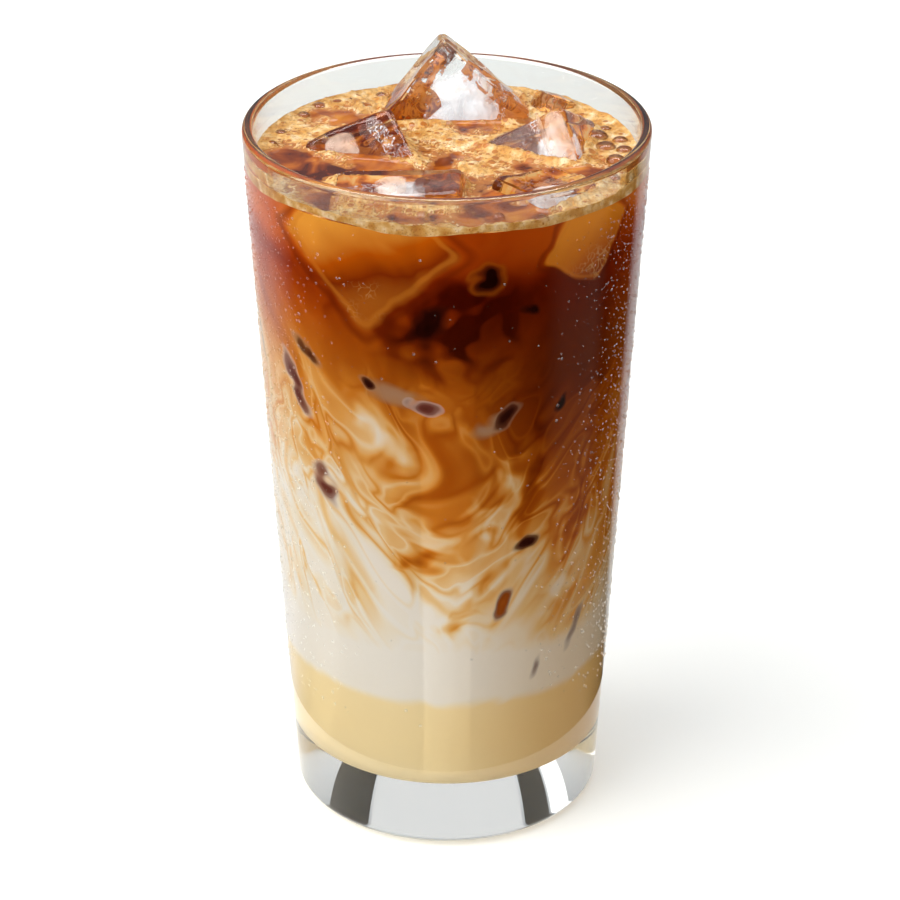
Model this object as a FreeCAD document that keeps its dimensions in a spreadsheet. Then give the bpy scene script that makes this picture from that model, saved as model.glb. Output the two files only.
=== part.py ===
import FreeCAD, Part
import Sketcher
import math
import os

# An iced latte in the tumbler it is served in, in millimetres. Z is up, and the origin is the
# middle of the glass's flat underside, on the surface it stands on.
doc = FreeCAD.newDocument("IcedLatte")

# ---------------------------------------------------------------- driving dimensions
SIZES = {
    "glass_height": 154.0,
    "rim_radius": 42.0,
    "foot_radius": 33.0,
    "rim_wall": 2.4,
    "foot_wall": 2.8,
    "floor_thickness": 14.5,
    "lip_round": 1.1,
    "heel_round": 3.0,
    "floor_round": 4.5,
    "drink_clearance": 0.1,
    "condensed_milk_depth": 21.5,
    "milk_depth": 54.0,
    "headroom": 7.0,
    "crema_depth": 2.5,
}

# Each cube: width, depth and height, the inset of its middle from the inner wall, its bearing
# around the glass (0 is +X, anticlockwise), the height of its middle above the crema (minus is
# below), then how it is turned: about Z, about its own X and about its own Y. The last value is
# how far melting has rounded its edges.
CUBES = {
    "centre": (24.0, 16.0, 23.0, 14.8, 87.4, -0.5, 3.0, -9.0, 40.0, 2.6),
    "left": (20.0, 19.0, 19.0, 22.9, 170.5, -6.9, 27.0, 32.0, -22.0, 2.6),
    "right": (22.0, 19.0, 19.0, 18.2, 11.0, -6.2, -28.0, -28.0, -34.0, 2.6),
    "front": (27.0, 14.0, 13.0, 17.55, 244.3, -4.1, -3.0, 3.0, -3.0, 3.2),
    "front_right": (18.0, 16.0, 20.0, 11.2, 313.6, -7.7, 42.0, 0.0, 8.0, 2.6),
    "back_right": (8.0, 8.0, 13.0, 6.7, 48.8, -2.8, 38.0, 0.0, 25.0, 2.2),
    "back_left": (13.0, 9.0, 13.0, 6.35, 131.8, -5.3, 40.0, 0.0, -4.0, 2.4),
}
CUBE_SIZES = ("width", "depth", "height", "inset", "bearing", "rise", "yaw", "pitch", "roll", "melt")

sheet = doc.addObject("Spreadsheet::Sheet", "Sizes")


def fill_sheet():
    """Writes every driving dimension as a named cell: the name in column A, the number in B."""
    rows = dict(SIZES)
    for cube, values in CUBES.items():
        for size, value in zip(CUBE_SIZES, values):
            rows[cube + "_" + size] = value
    for row, (name, value) in enumerate(rows.items(), start=1):
        sheet.set("A%d" % row, name)
        sheet.set("B%d" % row, str(value))
        sheet.setAlias("B%d" % row, name)
    doc.recompute()


fill_sheet()


# ---------------------------------------------------------------- places worked out from them
def cell(name):
    """The expression for one named size."""
    return "Sizes." + name


FLOOR = cell("floor_thickness")
RIM = cell("glass_height")
CREMA_TOP = f"({RIM} - {cell('headroom')})"
COFFEE_TOP = f"({CREMA_TOP} - {cell('crema_depth')})"
CONDENSED_MILK_BOTTOM = f"({FLOOR} + {cell('drink_clearance')})"
CONDENSED_MILK_TOP = f"({FLOOR} + {cell('condensed_milk_depth')})"
MILK_TOP = f"({CONDENSED_MILK_TOP} + {cell('milk_depth')})"


def outer_radius(height):
    """The expression for the glass's outer radius: a straight cone from the foot to the rim."""
    spread = f"({cell('rim_radius')} - {cell('foot_radius')})"
    return f"({cell('foot_radius')} + {spread} * ({height}) / {RIM})"


def inner_radius(height):
    """The expression for its inner radius: straight from the floor's edge to the lip."""
    at_floor = f"({outer_radius(FLOOR)} - {cell('foot_wall')})"
    at_rim = f"({cell('rim_radius')} - {cell('rim_wall')})"
    share = f"(({height}) - {FLOOR}) / ({RIM} - {FLOOR})"
    return f"({at_floor} + ({at_rim} - {at_floor}) * {share})"


def drink_radius(height):
    """The expression for the drink's radius, a hair inside the glass."""
    return f"({inner_radius(height)} - {cell('drink_clearance')})"


def value_of(expression):
    """An expression's number now."""
    result = sheet.evalExpression(expression.replace("Sizes.", ""))
    return float(getattr(result, "Value", result))


def origin_feature(body, role):
    """One of a body's own base planes or axes."""
    return next(o for o in body.Origin.OriginFeatures if o.Role == role)


# ---------------------------------------------------------------- turned pieces
def turned_body(name, outline):
    """A body revolved about Z. Its outline is a closed list of corners, each a radius and a
    height given as expressions, and each corner off the axis is held by two dimensions."""
    body = doc.addObject("PartDesign::Body", name + "_body")
    sketch = body.newObject("Sketcher::SketchObject", name + "_outline")
    sketch.AttachmentSupport = (origin_feature(body, "XZ_Plane"), [""])
    sketch.MapMode = "FlatFace"
    corners = [FreeCAD.Vector(value_of(r), value_of(z), 0) for r, z in outline]
    for start, end in zip(corners, corners[1:] + corners[:1]):
        sketch.addGeometry(Part.LineSegment(start, end), False)
    for line in range(len(outline)):
        following = (line + 1) % len(outline)
        sketch.addConstraint(Sketcher.Constraint("Coincident", line, 2, following, 1))
    for line, (radius, height) in enumerate(outline):
        for kind, expression in (("DistanceX", radius), ("DistanceY", height)):
            if expression == "0":
                held = "PointOnObject"
                axis = -2 if kind == "DistanceX" else -1
                sketch.addConstraint(Sketcher.Constraint(held, line, 1, axis))
                continue
            number = value_of(expression)
            index = sketch.addConstraint(
                Sketcher.Constraint(kind, -1, 1, line, 1, number)
            )
            sketch.setExpression("Constraints[%d]" % index, expression)
    turn = body.newObject("PartDesign::Revolution", name + "_turned")
    turn.Profile = sketch
    turn.ReferenceAxis = (sketch, ["V_Axis"])
    turn.Angle = 360
    sketch.Visibility = False
    doc.recompute()
    return body


def ring_edges(shape, radius, height):
    """The names of the circular edges at a radius and height."""
    names = []
    for number, edge in enumerate(shape.Edges, start=1):
        curve = edge.Curve
        if not isinstance(curve, Part.Circle):
            continue
        if abs(curve.Radius - radius) < 0.01 and abs(curve.Center.z - height) < 0.01:
            names.append("Edge%d" % number)
    return names


def round_rings(body, name, rings, radius):
    """Rounds circular edges of a body, each ring given as a radius and a height."""
    edges = []
    for ring_radius, ring_height in rings:
        edges += ring_edges(body.Shape, value_of(ring_radius), value_of(ring_height))
    if len(edges) != len(rings):
        raise RuntimeError(name + ": a ring to round was not found")
    base = body.Tip
    fillet = body.newObject("PartDesign::Fillet", name)
    fillet.Base = (base, edges)
    fillet.setExpression("Radius", radius)
    body.Tip = fillet
    doc.recompute()


def make_glass():
    """The tumbler: a straight-sided cone with a thick clear floor, a melted lip, a rounded heel
    and a rounded corner where the wall meets the floor."""
    inside_floor = inner_radius(FLOOR)
    inside_rim = inner_radius(RIM)
    outline = [
        ("0", "0"),
        (cell("foot_radius"), "0"),
        (cell("rim_radius"), RIM),
        (inside_rim, RIM),
        (inside_floor, FLOOR),
        ("0", FLOOR),
    ]
    body = turned_body("glass", outline)
    lip = [(cell("rim_radius"), RIM), (inside_rim, RIM)]
    round_rings(body, "glass_lip", lip, cell("lip_round"))
    round_rings(body, "glass_heel", [(cell("foot_radius"), "0")], cell("heel_round"))
    round_rings(body, "glass_floor", [(inside_floor, FLOOR)], cell("floor_round"))
    body.Label = "glass"
    return body


def make_layer(name, bottom, top):
    """One layer of the drink, filling the glass from one height to another."""
    outline = [
        ("0", bottom),
        (drink_radius(bottom), bottom),
        (drink_radius(top), top),
        ("0", top),
    ]
    return turned_body(name, outline)


# ---------------------------------------------------------------- ice
def make_cube(name):
    """An ice cube that stands out of the drink: a padded rectangle with every edge rounded, as
    melting leaves it, tilted, and placed by its inset from the wall."""

    def size(word):
        return cell(name + "_" + word)

    body = doc.addObject("PartDesign::Body", name + "_cube_body")
    sketch = body.newObject("Sketcher::SketchObject", name + "_cube_outline")
    sketch.AttachmentSupport = (origin_feature(body, "XY_Plane"), [""])
    sketch.MapMode = "FlatFace"
    half_width = value_of(size("width")) / 2
    half_depth = value_of(size("depth")) / 2
    corners = [
        FreeCAD.Vector(-half_width, -half_depth, 0),
        FreeCAD.Vector(half_width, -half_depth, 0),
        FreeCAD.Vector(half_width, half_depth, 0),
        FreeCAD.Vector(-half_width, half_depth, 0),
    ]
    for start, end in zip(corners, corners[1:] + corners[:1]):
        sketch.addGeometry(Part.LineSegment(start, end), False)
    for line in range(4):
        sketch.addConstraint(Sketcher.Constraint("Coincident", line, 2, (line + 1) % 4, 1))
    sketch.addConstraint(Sketcher.Constraint("Horizontal", 0))
    sketch.addConstraint(Sketcher.Constraint("Horizontal", 2))
    sketch.addConstraint(Sketcher.Constraint("Vertical", 1))
    sketch.addConstraint(Sketcher.Constraint("Vertical", 3))
    sketch.addConstraint(Sketcher.Constraint("Symmetric", 0, 1, 1, 2, -1, 1))
    width = sketch.addConstraint(Sketcher.Constraint("DistanceX", 0, 1, 0, 2, 2 * half_width))
    sketch.setExpression("Constraints[%d]" % width, size("width"))
    depth = sketch.addConstraint(Sketcher.Constraint("DistanceY", 1, 1, 1, 2, 2 * half_depth))
    sketch.setExpression("Constraints[%d]" % depth, size("depth"))
    pad = body.newObject("PartDesign::Pad", name + "_cube_pad")
    pad.Profile = sketch
    pad.Midplane = True
    pad.setExpression("Length", size("height"))
    sketch.Visibility = False
    doc.recompute()

    melted = body.newObject("PartDesign::Fillet", name + "_cube_melted")
    melted.Base = (pad, ["Edge%d" % (n + 1) for n in range(len(pad.Shape.Edges))])
    melted.setExpression("Radius", size("melt"))
    body.Tip = melted

    reach = f"({inner_radius(CREMA_TOP)} - {size('inset')})"
    body.setExpression("Placement.Base.x", f"{reach} * cos({size('bearing')} * 1deg)")
    body.setExpression("Placement.Base.y", f"{reach} * sin({size('bearing')} * 1deg)")
    body.setExpression("Placement.Base.z", f"{CREMA_TOP} + {size('rise')}")
    yaw = FreeCAD.Rotation(FreeCAD.Vector(0, 0, 1), value_of(size("yaw")))
    pitch = FreeCAD.Rotation(FreeCAD.Vector(1, 0, 0), value_of(size("pitch")))
    roll = FreeCAD.Rotation(FreeCAD.Vector(0, 1, 0), value_of(size("roll")))
    body.Placement.Rotation = yaw * pitch * roll
    body.Label = "ice_cube_" + name
    doc.recompute()
    return body


def cut_round(layer, cubes, label):
    """A layer with the room the cubes take up cut out of it, one cube at a time."""
    left = layer
    for cube in cubes:
        cut = doc.addObject("Part::Cut", label + "_round_" + cube.Label)
        cut.Base = left
        cut.Tool = cube
        doc.recompute()
        left = cut
    left.Label = label
    return left


# ---------------------------------------------------------------- the drink, put together
glass = make_glass()

condensed_milk = make_layer("condensed_milk", CONDENSED_MILK_BOTTOM, CONDENSED_MILK_TOP)
bottom_ring = [(drink_radius(CONDENSED_MILK_BOTTOM), CONDENSED_MILK_BOTTOM)]
round_rings(condensed_milk, "condensed_milk_round", bottom_ring, cell("floor_round"))
condensed_milk.Label = "condensed_milk"

milk = make_layer("milk", CONDENSED_MILK_TOP, MILK_TOP)
milk.Label = "milk"

cubes = [make_cube(name) for name in CUBES]
coffee = cut_round(make_layer("coffee", MILK_TOP, COFFEE_TOP), cubes, "coffee")
crema = cut_round(make_layer("crema", COFFEE_TOP, CREMA_TOP), cubes, "crema")

pieces = [glass, condensed_milk, milk, coffee, crema] + cubes


# ---------------------------------------------------------------- checks and files
def check_model():
    """Stops the build if any feature failed or any piece is not one sound solid."""
    doc.recompute()
    for item in doc.Objects:
        faults = [word for word in item.State if word in ("Invalid", "Error")]
        if faults:
            raise RuntimeError(item.Name + " failed: " + ", ".join(faults))
    for piece in pieces:
        shape = piece.Shape
        if shape.isNull() or not shape.isValid():
            raise RuntimeError(piece.Label + " has no sound shape")
        if len(shape.Solids) != 1:
            raise RuntimeError("%s is %d solids" % (piece.Label, len(shape.Solids)))
        if not math.isfinite(shape.Volume) or shape.Volume <= 0:
            raise RuntimeError(piece.Label + " has no volume")


check_model()
os.makedirs("parts", exist_ok=True)
for piece in pieces:
    piece.Shape.exportStep("parts/" + piece.Label + ".step")
    box = piece.Shape.BoundBox
    print("%-22s %9.0f mm3  z %.2f to %.2f" % (piece.Label, piece.Shape.Volume, box.ZMin, box.ZMax))
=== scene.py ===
import bmesh
import bpy
import math
import numpy as np
from mathutils import Matrix, Vector, noise


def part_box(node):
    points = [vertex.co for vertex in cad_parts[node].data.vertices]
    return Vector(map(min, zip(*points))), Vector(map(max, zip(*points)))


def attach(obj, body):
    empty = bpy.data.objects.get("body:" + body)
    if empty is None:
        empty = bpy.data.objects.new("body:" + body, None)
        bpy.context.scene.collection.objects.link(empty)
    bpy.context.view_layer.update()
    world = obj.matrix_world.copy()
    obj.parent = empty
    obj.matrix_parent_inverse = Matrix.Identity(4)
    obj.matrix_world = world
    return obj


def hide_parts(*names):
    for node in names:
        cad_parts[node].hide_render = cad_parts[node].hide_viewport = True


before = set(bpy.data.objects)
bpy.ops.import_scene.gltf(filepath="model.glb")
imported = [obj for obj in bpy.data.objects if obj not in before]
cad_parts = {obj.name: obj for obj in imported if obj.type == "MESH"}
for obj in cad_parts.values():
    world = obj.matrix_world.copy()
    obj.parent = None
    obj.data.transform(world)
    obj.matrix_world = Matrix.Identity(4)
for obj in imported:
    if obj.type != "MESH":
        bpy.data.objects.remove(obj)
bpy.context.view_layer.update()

# ------------------------------------------------------------------ camera
# A long lens a little above the drink, so that the rim opens as an ellipse and the straight
# sides close slightly towards the foot. The small shift sets the glass left of the middle.
CAMERA_BACK = 0.6472
CAMERA_UP = 0.4061
CAMERA_DOWN = math.radians(26.81)
CAMERA_LENS = 135.6
CAMERA_SENSOR = 36
CAMERA_SHIFT = 0.0035
camera = bpy.data.objects.new("camera", bpy.data.cameras.new("camera"))
bpy.context.collection.objects.link(camera)
camera.location = (0, -CAMERA_BACK, CAMERA_UP)
camera.rotation_euler = (math.pi / 2 - CAMERA_DOWN, 0, 0)
camera.data.lens = CAMERA_LENS
camera.data.sensor_width = CAMERA_SENSOR
camera.data.shift_x = CAMERA_SHIFT
camera.data.clip_start = 0.01
bpy.context.scene.camera = camera


# ------------------------------------------------------------------ studio
# A white sweep under soft light: one large soft box at the left and front, and a pale room.
# Cards that only reflections and refractions meet give the clear glass its dark and pale edges.
def linear(colour):
    """An sRGB hex colour as linear RGBA."""
    channels = [int(colour[i : i + 2], 16) / 255 for i in (1, 3, 5)]
    bent = [c / 12.92 if c <= 0.04045 else ((c + 0.055) / 1.055) ** 2.4 for c in channels]
    return (*bent, 1)


def add(tree, kind, inputs=(), **settings):
    """Adds a node with its settings, and sets or links its inputs, in order or by name."""
    node = tree.nodes.new(kind if "Node" in kind else "ShaderNode" + kind)
    for key, value in settings.items():
        setattr(node, key, value)
    for key, value in inputs.items() if isinstance(inputs, dict) else enumerate(inputs):
        if isinstance(value, bpy.types.Node):
            value = value.outputs[0]
        if isinstance(value, bpy.types.NodeSocket):
            tree.links.new(value, node.inputs[key])
        else:
            node.inputs[key].default_value = value
    return node


def graded(ramp, stops):
    """Gives a colour ramp its stops, each (place, colour) or (place, colour, alpha)."""
    elements = ramp.color_ramp.elements
    while len(elements) < len(stops):
        elements.new(0.5)
    for element, (place, colour, *alpha) in zip(elements, stops):
        element.position = place
        element.color = (*linear(colour)[:3], alpha[0] if alpha else 1)
    return ramp


SMOOTH = {"interpolation_type": "SMOOTHSTEP"}


def new_material(name):
    """A material with an empty node tree, and the tree."""
    material = bpy.data.materials.new(name)
    material.use_nodes = True
    material.node_tree.nodes.clear()
    return material, material.node_tree


def mesh_piece(name, verts, faces, material=None, smooth=True, sharp=math.radians(40)):
    """A mesh object at the origin, with its place in its vertices."""
    mesh = bpy.data.meshes.new(name)
    mesh.from_pydata(np.asarray(verts, float).tolist(), [], [tuple(f) for f in faces])
    mesh.validate()
    if material:
        mesh.materials.append(material)
    if smooth:
        mesh.shade_smooth()
        mesh.set_sharp_from_angle(angle=sharp)
    piece = bpy.data.objects.new(name, mesh)
    bpy.context.collection.objects.link(piece)
    return piece


def studio_card(name, verts, faces, material, seen_by):
    """A card beside the set that only one kind of ray meets."""
    card = mesh_piece(name, verts, faces, material, smooth=False)
    for ray in ("camera", "diffuse", "glossy", "transmission", "volume_scatter", "shadow"):
        setattr(card, "visible_" + ray, ray == seen_by)


def round_band(start, end):
    """Points and faces of a band about Z, between two circles given as (radius, height)."""
    verts, faces = [], []
    for k in range(BAND_TURNS):
        angle = 2 * math.pi * k / BAND_TURNS
        for radius, z in (start, end):
            verts.append((radius * math.cos(angle), radius * math.sin(angle), z))
        after = (k + 1) % BAND_TURNS
        faces.append((2 * k, 2 * k + 1, 2 * after + 1, 2 * after))
    return verts, faces


FLOOR_HALF = 4.0
FLOOR_DROP = 0.0003
sweep_white, tree = new_material("matt white paper sweep")
paper = add(tree, "BsdfDiffuse", {"Color": linear("#F6F7F5")})
backlight = add(tree, "Emission", {"Color": linear("#FDFFFC"), "Strength": 0.16})
add(tree, "OutputMaterial", [add(tree, "AddShader", [paper, backlight])])
quarters = ((-1, -1), (1, -1), (1, 1), (-1, 1))
corners = [(x * FLOOR_HALF, y * FLOOR_HALF, -FLOOR_DROP) for x, y in quarters]
floor = mesh_piece("floor", corners, [(0, 1, 2, 3)], sweep_white, smooth=False)

KEY_PLACE = Vector((-0.95, -0.42, 1.0))
KEY_AIM = Vector((0, 0, 0.08))
key = bpy.data.lights.new("key_soft_box", "AREA")
key.shape = "RECTANGLE"
key.size, key.size_y = 1.5, 1.5
key.energy = 23.0
key.color = linear("#FFFDF9")[:3]
lamp = bpy.data.objects.new("key_soft_box", key)
lamp.location = KEY_PLACE
lamp.rotation_euler = (KEY_AIM - KEY_PLACE).to_track_quat("-Z", "Y").to_euler()
bpy.context.collection.objects.link(lamp)

# What the glass reflects from below: a ring on the floor, dark in front, grey at the right, and
# one even grey further away. Round it stands the far wall of the studio, paler higher up.
BAND_TURNS = 180
RING_NEAR = 0.055
RING_FAR = 6.0
RING_UP = 0.0001
WALL_TALL = 3.0
FAR_GREY = "#787A7D"
ring_glow, tree = new_material("studio floor as the glass reflects it")
place = add(tree, "TexCoord").outputs["Object"]
parts = add(tree, "SeparateXYZ", [place]).outputs
behind = add(tree, "Math", [parts["Y"], -1.0], operation="MULTIPLY")
bearing = add(tree, "Math", [parts["X"], behind], operation="ARCTAN2")
turn = add(tree, "MapRange", [bearing, -math.pi, math.pi])
near = graded(
    add(tree, "ValToRGB", [turn]),
    [
        (0.0, "#F4F5F6"), (0.17, "#E4E5E8"), (0.235, "#2A2B2E"), (0.30, "#050505"),
        (0.655, "#050505"), (0.69, "#6C645A"), (0.755, "#766C60"), (0.785, "#101011"),
        (0.86, "#101011"), (0.885, "#D8DADC"), (1.0, "#F4F5F6"),
    ],
)
away = add(tree, "VectorMath", [place], operation="LENGTH").outputs["Value"]
far = add(tree, "MapRange", [away, 0.4, 1.3], **SMOOTH)
shade = add(tree, "Mix", {0: far, 6: near, 7: linear(FAR_GREY)}, data_type="RGBA").outputs[2]
add(tree, "OutputMaterial", [add(tree, "Emission", [shade, 1.0])])
studio_card(
    "reflection_ring", *round_band((RING_NEAR, RING_UP), (RING_FAR, RING_UP)), ring_glow, "glossy"
)

far_wall_glow, tree = new_material("studio wall as the glass reflects it")
parts = add(tree, "SeparateXYZ", [add(tree, "TexCoord").outputs["Object"]]).outputs
rise = add(tree, "MapRange", [parts["Z"], 0.0, WALL_TALL])
shade = graded(add(tree, "ValToRGB", [rise]), [(0.0, FAR_GREY), (1.0, "#A4A8AD")])
add(tree, "OutputMaterial", [add(tree, "Emission", [shade, 1.0])])
studio_card("far_wall", *round_band((RING_FAR, 0), (RING_FAR, WALL_TALL)), far_wall_glow, "glossy")

# Two upright black flags that only refracted rays meet, for the dark glass edges.
FLAG_AWAY = 0.34
FLAG_DEPTH = (-0.05, 0.20)
FLAG_RISE = (0.016, 0.12)
black_flag, tree = new_material("black studio flag")
add(tree, "OutputMaterial", [add(tree, "BsdfDiffuse", [linear("#0A0A0A")])])
for x, word in ((-FLAG_AWAY, "left"), (FLAG_AWAY, "right")):
    (y_near, y_far), (low, high) = FLAG_DEPTH, FLAG_RISE
    corners = [(x, y_near, low), (x, y_far, low), (x, y_far, high), (x, y_near, high)]
    studio_card("flag_" + word, corners, [(0, 1, 2, 3)], black_flag, "transmission")

# Behind the glass and higher up: what its solid base gathers and shows as dark and bright panes.
PANE_AWAY = 0.6
PANE_RISE = (0.12, 0.50)
PANES = (
    # name, first and last bearing in degrees, and strength
    ("centre", -22, 22, 0.84), ("right", 23, 41, 0.0),
    ("left", -33, -23, 0.0), ("left_bright", -44, -34, 1.8),
)
for word, start, end, strength in PANES:
    pane_glow, tree = new_material("studio pane behind, " + word.replace("_", " "))
    add(tree, "OutputMaterial", [add(tree, "Emission", [linear("#FDFEFF"), strength])])
    low, high = PANE_RISE
    corners = []
    for bearing, z in ((start, low), (end, low), (end, high), (start, high)):
        angle = math.radians(bearing)
        corners.append((PANE_AWAY * math.sin(angle), PANE_AWAY * math.cos(angle), z))
    studio_card("pane_" + word, corners, [(0, 1, 2, 3)], pane_glow, "transmission")

# Overhead, for glints alone: it draws the white line along the rim and the ice's wet edges.
OVERHEAD_UP = 1.1
OVERHEAD_CORNERS = ((-0.6, 0.05), (-0.6, 0.40), (0.6, 0.40), (0.6, 0.05))
overhead_glow, tree = new_material("overhead soft box as wet edges reflect it")
add(tree, "OutputMaterial", [add(tree, "Emission", [linear("#FFFFFF"), 10.0])])
corners = [(x, y, OVERHEAD_UP) for x, y in OVERHEAD_CORNERS]
studio_card("overhead", corners, [(0, 1, 2, 3)], overhead_glow, "glossy")

# A grey ring round the upper glass that only refracted rays meet: it gives the empty glass
# above the drink its pale grey tone against the white.
GAUZE_AWAY = 0.12
GAUZE_LOW = 0.09
GAUZE_HIGH = 0.20
grey_gauze, tree = new_material("neutral grey studio gauze")
add(tree, "OutputMaterial", [add(tree, "BsdfTransparent", [linear("#E9EAEA")])])
studio_card(
    "gauze_ring", *round_band((GAUZE_AWAY, GAUZE_HIGH), (GAUZE_AWAY, GAUZE_LOW)), grey_gauze,
    "transmission",
)

# The room is grey at the horizon and white above. The camera itself sees plain white.
world = bpy.data.worlds.new("studio")
bpy.context.scene.world = world
world.use_nodes = True
tree = world.node_tree
tree.nodes.clear()
up = add(tree, "SeparateXYZ", [add(tree, "TexCoord").outputs["Generated"]]).outputs["Z"]
sky = graded(
    add(tree, "ValToRGB", [up]),
    [(0.0, "#B4B8BC"), (0.35, "#A9ADB2"), (0.7, "#F2F4F6"), (1.0, "#FFFFFF")],
)
room = add(tree, "Background", [sky, 0.98])
seen = add(tree, "Background", [linear("#FDFFFC"), 1.0])
by_camera = add(tree, "LightPath").outputs["Is Camera Ray"]
add(tree, "OutputWorld", [add(tree, "MixShader", [by_camera, room, seen])])

view = bpy.context.scene.view_settings
view.view_transform = "Standard"
view.look = "None"


# ------------------------------------------------------------------ glass
# The tumbler: clear pressed soda-lime glass, a straight cone with a fire-polished lip, a solid
# thick floor and a rounded heel. It is turned from one outline, finer than the CAD node's mesh.
glass_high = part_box("glass")[1]
HEIGHT = glass_high[2]
RIM_RADIUS = glass_high[0]
FOOT_RADIUS = 0.033
RIM_WALL = 0.0024
FOOT_WALL = 0.0028
FLOOR_THICKNESS = 0.0145
LIP_ROUND = 0.0011
HEEL_ROUND = 0.0030
FLOOR_ROUND = 0.0045
TURNS = 256


def outer_radius(z):
    """The glass's outer radius at a height."""
    return FOOT_RADIUS + (RIM_RADIUS - FOOT_RADIUS) * z / HEIGHT


def inner_radius(z):
    """The glass's inner radius at a height."""
    at_floor = outer_radius(FLOOR_THICKNESS) - FOOT_WALL
    at_rim = RIM_RADIUS - RIM_WALL
    return at_floor + (at_rim - at_floor) * (z - FLOOR_THICKNESS) / (HEIGHT - FLOOR_THICKNESS)


def rounded_outline(corners, steps=8):
    """An open outline with arcs at its corners. Each corner is (radius, height, rounding)."""
    points = []
    for i, (r, z, rounding) in enumerate(corners):
        here = Vector((r, z))
        if not rounding:
            points.append(here)
            continue
        before = (Vector(corners[i - 1][:2]) - here).normalized()
        after = (Vector(corners[i + 1][:2]) - here).normalized()
        half = math.acos(max(-1, min(1, before.dot(after)))) / 2
        centre = here + (before + after).normalized() * rounding / math.sin(half)
        first = here + before * rounding / math.tan(half) - centre
        last = here + after * rounding / math.tan(half) - centre
        sweep = first.angle_signed(last)
        for k in range(steps + 1):
            points.append(centre + Matrix.Rotation(-sweep * k / steps, 2) @ first)
    return points


def turned(name, outline, material):
    """A closed mesh turned about Z from an outline that starts and ends on the axis."""
    verts, rings = [], []
    for radius, z in outline:
        if radius < 1e-7:
            rings.append([len(verts)])
            verts.append((0, 0, z))
            continue
        rings.append(list(range(len(verts), len(verts) + TURNS)))
        for k in range(TURNS):
            angle = 2 * math.pi * k / TURNS
            verts.append((radius * math.cos(angle), radius * math.sin(angle), z))
    faces = []
    for low, high in zip(rings, rings[1:]):
        for k in range(TURNS):
            after = (k + 1) % TURNS
            if len(low) == 1:
                faces.append((low[0], high[after], high[k]))
            elif len(high) == 1:
                faces.append((low[k], low[after], high[0]))
            else:
                faces.append((low[k], low[after], high[after], high[k]))
    return mesh_piece(name, verts, faces, material)


def see_through(tree, tint, ior, shadow, **more):
    """A clear, polished body. Its shadow is only tinted, as bright light passes through it."""
    look = {"Base Color": linear(tint), "Roughness": 0.0, "IOR": ior, "Transmission Weight": 1.0}
    body = add(tree, "BsdfPrincipled", {**look, **more})
    let_through = add(tree, "BsdfTransparent", [linear(shadow)])
    in_shadow = add(tree, "LightPath").outputs["Is Shadow Ray"]
    add(tree, "OutputMaterial", [add(tree, "MixShader", [in_shadow, body, let_through])])


clear_glass, tree = new_material("clear pressed soda-lime glass")
see_through(tree, "#ECEEED", 1.5, "#F6F8F7")
glass_outline = rounded_outline(
    [
        (0, 0, 0),
        (FOOT_RADIUS, 0, HEEL_ROUND),
        (RIM_RADIUS, HEIGHT, LIP_ROUND),
        (RIM_RADIUS - RIM_WALL, HEIGHT, LIP_ROUND),
        (inner_radius(FLOOR_THICKNESS), FLOOR_THICKNESS, FLOOR_ROUND),
        (0, FLOOR_THICKNESS, 0),
    ]
)
tumbler = turned("tumbler", glass_outline, clear_glass)
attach(tumbler, "root")
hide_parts("glass")


# ------------------------------------------------------------------ drink
# Three layers that fill the glass and reach just into its wall: condensed milk at the bottom,
# milk, and coffee that sinks into the milk in stirred threads. Sunken ice presses on the wall.
REACH = 0.00015
WALL_MEAN = 36.0
MM = 1000.0
condensed_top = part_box("condensed_milk")[1][2]
milk_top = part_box("milk")[1][2]
coffee_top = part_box("crema")[1][2] - 0.0008


def in_millimetres(tree):
    """The place on the object, in millimetres, so that a pattern's scale is its real size."""
    place = add(tree, "TexCoord").outputs["Object"]
    return add(tree, "VectorMath", {0: place, 3: MM}, operation="SCALE")


def stirred(tree, vector, eddy, reach, detail=1.0):
    """A position pushed about by smooth eddies, with their width and reach in millimetres."""
    inputs = {"Vector": vector, "Scale": 1 / eddy, "Detail": detail, "Roughness": 0.5}
    swirl = add(tree, "TexNoise", inputs).outputs["Color"]
    centred = add(tree, "VectorMath", [swirl, (0.5,) * 3], operation="SUBTRACT")
    return add(tree, "VectorMath", [centred, (reach,) * 3, vector], operation="MULTIPLY_ADD")


def off_centre(tree, value, centre):
    """How far a value is from a centre, either way."""
    return add(
        tree, "Math", [add(tree, "Math", [value, centre], operation="SUBTRACT")], operation="ABSOLUTE"
    )


def spot(tree, wall, place, size, tilt):
    """A place in a tilted ellipse on the unrolled wall, and how far out: 0 in it, 1 at its edge."""
    inputs = {"Vector": wall, "Location": (*place, 0), "Scale": (*size, 1)}
    inputs["Rotation"] = (0, 0, math.radians(tilt))
    local = add(tree, "Mapping", inputs, vector_type="TEXTURE")
    return local, add(tree, "VectorMath", [local], operation="LENGTH").outputs["Value"]


# Milk and coffee are opaque and matt behind the wall: the glass gives all of the gloss. Their
# shade is one field, the share of coffee, which falls with depth and is folded by the stirring.
marbling, tree = new_material("milk and coffee, marbled")
scaled = in_millimetres(tree)
parts = add(tree, "SeparateXYZ", [scaled]).outputs
x_mm, y_mm, z_mm = parts["X"], parts["Y"], parts["Z"]
bearing = add(
    tree, "Math", [x_mm, add(tree, "Math", [y_mm, -1.0], operation="MULTIPLY")], operation="ARCTAN2"
)
around = add(tree, "Math", [bearing, WALL_MEAN], operation="MULTIPLY")

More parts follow.
